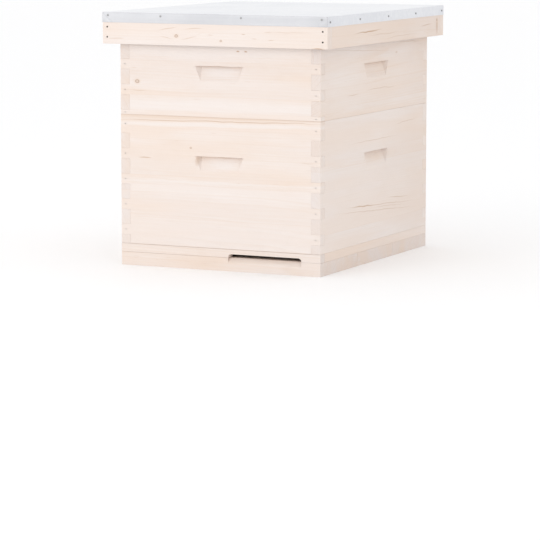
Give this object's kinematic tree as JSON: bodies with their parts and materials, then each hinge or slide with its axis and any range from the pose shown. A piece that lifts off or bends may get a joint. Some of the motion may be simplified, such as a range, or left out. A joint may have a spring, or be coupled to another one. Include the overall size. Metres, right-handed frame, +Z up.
{
  "type": "langstroth hive",
  "caption": "Wooden beehive of stacked finger-jointed boxes with hanging frames, on a bottom board with a reduced entrance, under an inner cover and a metal-topped telescoping cover.",
  "frame": {"origin": "centre of the underside of the bottom board, which is also the centre of the object's plan", "axes": "+Z up, -Y out of the entrance at the front, +X to the right of someone facing the entrance"},
  "size_m": [0.4642, 0.5562, 0.4768],
  "materials": {
    "pine": "bare planed pine with a horizontal grain",
    "plywood": "bare plywood",
    "frame_wood": "bare planed basswood",
    "sheet_metal": "bright matt sheet",
    "nail_steel": "plain steel nails",
    "wax": "beeswax-coated foundation with pressed cells"
  },
  "bodies": {
    "bottom_board": {"floor_front_plank": "pine", "floor_middle_plank": "pine", "floor_rear_plank": "pine", "left_rail": "pine", "right_rail": "pine", "rear_rail": "pine"},
    "reducer": {"entrance_reducer": "pine"},
    "deep_box": {"deep_front_board": "pine", "deep_rear_board": "pine", "deep_left_board": "pine", "deep_right_board": "pine", "deep_brads": "nail_steel"},
    "super_box": {"super_front_board": "pine", "super_rear_board": "pine", "super_left_board": "pine", "super_right_board": "pine", "super_brads": "nail_steel"},
    "inner_cover": {"inner_panel": "plywood", "inner_front_strip": "pine", "inner_rear_strip": "pine", "inner_left_strip": "pine", "inner_right_strip": "pine"},
    "outer_cover": {"cover_deck": "plywood", "cover_front_rim": "pine", "cover_rear_rim": "pine", "cover_left_rim": "pine", "cover_right_rim": "pine", "cover_sheet": "sheet_metal", "sheet_nails": "nail_steel", "rim_nails": "nail_steel"},
    "deep_frame_1": {"deep_frame_1": "frame_wood"},
    "deep_frame_2": {"deep_frame_2": "frame_wood"},
    "deep_frame_3": {"deep_frame_3": "frame_wood"},
    "deep_frame_4": {"deep_frame_4": "frame_wood"},
    "deep_frame_5": {"deep_frame_5": "frame_wood"},
    "deep_frame_6": {"deep_frame_6": "frame_wood"},
    "deep_frame_7": {"deep_frame_7": "frame_wood"},
    "deep_frame_8": {"deep_frame_8": "frame_wood"},
    "deep_frame_9": {"deep_frame_9": "frame_wood"},
    "deep_frame_10": {"deep_frame_10": "frame_wood"},
    "super_frame_1": {"super_frame_1": "frame_wood"},
    "super_frame_2": {"super_frame_2": "frame_wood"},
    "super_frame_3": {"super_frame_3": "frame_wood"},
    "super_frame_4": {"super_frame_4": "frame_wood"},
    "super_frame_5": {"super_frame_5": "frame_wood"},
    "super_frame_6": {"super_frame_6": "frame_wood"},
    "super_frame_7": {"super_frame_7": "frame_wood"},
    "super_frame_8": {"super_frame_8": "frame_wood"},
    "super_frame_9": {"super_frame_9": "frame_wood"},
    "super_frame_10": {"super_frame_10": "frame_wood"}
  },
  "joints": [
    {"name": "reducer_slide", "type": "slide", "parent": "bottom_board", "child": "reducer", "axis": [0, -1, 0], "range_m": [0, 0.06]},
    {"name": "deep_lift", "type": "slide", "parent": "bottom_board", "child": "deep_box", "axis": [0, 0, 1], "range_m": [0, 0.12]},
    {"name": "super_lift", "type": "slide", "parent": "deep_box", "child": "super_box", "axis": [0, 0, 1], "range_m": [0, 0.4]},
    {"name": "inner_cover_lift", "type": "slide", "parent": "super_box", "child": "inner_cover", "axis": [0, 0, 1], "range_m": [0, 0.3]},
    {"name": "outer_cover_lift", "type": "slide", "parent": "inner_cover", "child": "outer_cover", "axis": [0, 0, 1], "range_m": [0, 0.12]},
    {"name": "deep_frame_1_lift", "type": "slide", "parent": "deep_box", "child": "deep_frame_1", "axis": [0, 0, 1], "range_m": [0, 0.36]},
    {"name": "deep_frame_2_lift", "type": "slide", "parent": "deep_box", "child": "deep_frame_2", "axis": [0, 0, 1], "range_m": [0, 0.36]},
    {"name": "deep_frame_3_lift", "type": "slide", "parent": "deep_box", "child": "deep_frame_3", "axis": [0, 0, 1], "range_m": [0, 0.36]},
    {"name": "deep_frame_4_lift", "type": "slide", "parent": "deep_box", "child": "deep_frame_4", "axis": [0, 0, 1], "range_m": [0, 0.36]},
    {"name": "deep_frame_5_lift", "type": "slide", "parent": "deep_box", "child": "deep_frame_5", "axis": [0, 0, 1], "range_m": [0, 0.36]},
    {"name": "deep_frame_6_lift", "type": "slide", "parent": "deep_box", "child": "deep_frame_6", "axis": [0, 0, 1], "range_m": [0, 0.36]},
    {"name": "deep_frame_7_lift", "type": "slide", "parent": "deep_box", "child": "deep_frame_7", "axis": [0, 0, 1], "range_m": [0, 0.36]},
    {"name": "deep_frame_8_lift", "type": "slide", "parent": "deep_box", "child": "deep_frame_8", "axis": [0, 0, 1], "range_m": [0, 0.36]},
    {"name": "deep_frame_9_lift", "type": "slide", "parent": "deep_box", "child": "deep_frame_9", "axis": [0, 0, 1], "range_m": [0, 0.36]},
    {"name": "deep_frame_10_lift", "type": "slide", "parent": "deep_box", "child": "deep_frame_10", "axis": [0, 0, 1], "range_m": [0, 0.36]},
    {"name": "super_frame_1_lift", "type": "slide", "parent": "super_box", "child": "super_frame_1", "axis": [0, 0, 1], "range_m": [0, 0.27]},
    {"name": "super_frame_2_lift", "type": "slide", "parent": "super_box", "child": "super_frame_2", "axis": [0, 0, 1], "range_m": [0, 0.27]},
    {"name": "super_frame_3_lift", "type": "slide", "parent": "super_box", "child": "super_frame_3", "axis": [0, 0, 1], "range_m": [0, 0.27]},
    {"name": "super_frame_4_lift", "type": "slide", "parent": "super_box", "child": "super_frame_4", "axis": [0, 0, 1], "range_m": [0, 0.27]},
    {"name": "super_frame_5_lift", "type": "slide", "parent": "super_box", "child": "super_frame_5", "axis": [0, 0, 1], "range_m": [0, 0.27]},
    {"name": "super_frame_6_lift", "type": "slide", "parent": "super_box", "child": "super_frame_6", "axis": [0, 0, 1], "range_m": [0, 0.27]},
    {"name": "super_frame_7_lift", "type": "slide", "parent": "super_box", "child": "super_frame_7", "axis": [0, 0, 1], "range_m": [0, 0.27]},
    {"name": "super_frame_8_lift", "type": "slide", "parent": "super_box", "child": "super_frame_8", "axis": [0, 0, 1], "range_m": [0, 0.27]},
    {"name": "super_frame_9_lift", "type": "slide", "parent": "super_box", "child": "super_frame_9", "axis": [0, 0, 1], "range_m": [0, 0.27]},
    {"name": "super_frame_10_lift", "type": "slide", "parent": "super_box", "child": "super_frame_10", "axis": [0, 0, 1], "range_m": [0, 0.27]}
  ],
  "couplings": [
    {"joint": "deep_frame_1_lift", "follows": "super_lift", "ratio": 0.62},
    {"joint": "deep_frame_2_lift", "follows": "super_lift", "ratio": 0.6467},
    {"joint": "deep_frame_3_lift", "follows": "super_lift", "ratio": 0.6733},
    {"joint": "deep_frame_4_lift", "follows": "super_lift", "ratio": 0.7},
    {"joint": "deep_frame_5_lift", "follows": "super_lift", "ratio": 0.7267},
    {"joint": "deep_frame_6_lift", "follows": "super_lift", "ratio": 0.7533},
    {"joint": "deep_frame_7_lift", "follows": "super_lift", "ratio": 0.78},
    {"joint": "deep_frame_8_lift", "follows": "super_lift", "ratio": 0.8067},
    {"joint": "deep_frame_9_lift", "follows": "super_lift", "ratio": 0.8333},
    {"joint": "deep_frame_10_lift", "follows": "super_lift", "ratio": 0.86},
    {"joint": "super_frame_1_lift", "follows": "inner_cover_lift", "ratio": 0.58},
    {"joint": "super_frame_2_lift", "follows": "inner_cover_lift", "ratio": 0.61},
    {"joint": "super_frame_3_lift", "follows": "inner_cover_lift", "ratio": 0.64},
    {"joint": "super_frame_4_lift", "follows": "inner_cover_lift", "ratio": 0.67},
    {"joint": "super_frame_5_lift", "follows": "inner_cover_lift", "ratio": 0.7},
    {"joint": "super_frame_6_lift", "follows": "inner_cover_lift", "ratio": 0.73},
    {"joint": "super_frame_7_lift", "follows": "inner_cover_lift", "ratio": 0.76},
    {"joint": "super_frame_8_lift", "follows": "inner_cover_lift", "ratio": 0.79},
    {"joint": "super_frame_9_lift", "follows": "inner_cover_lift", "ratio": 0.82},
    {"joint": "super_frame_10_lift", "follows": "inner_cover_lift", "ratio": 0.85}
  ]
}
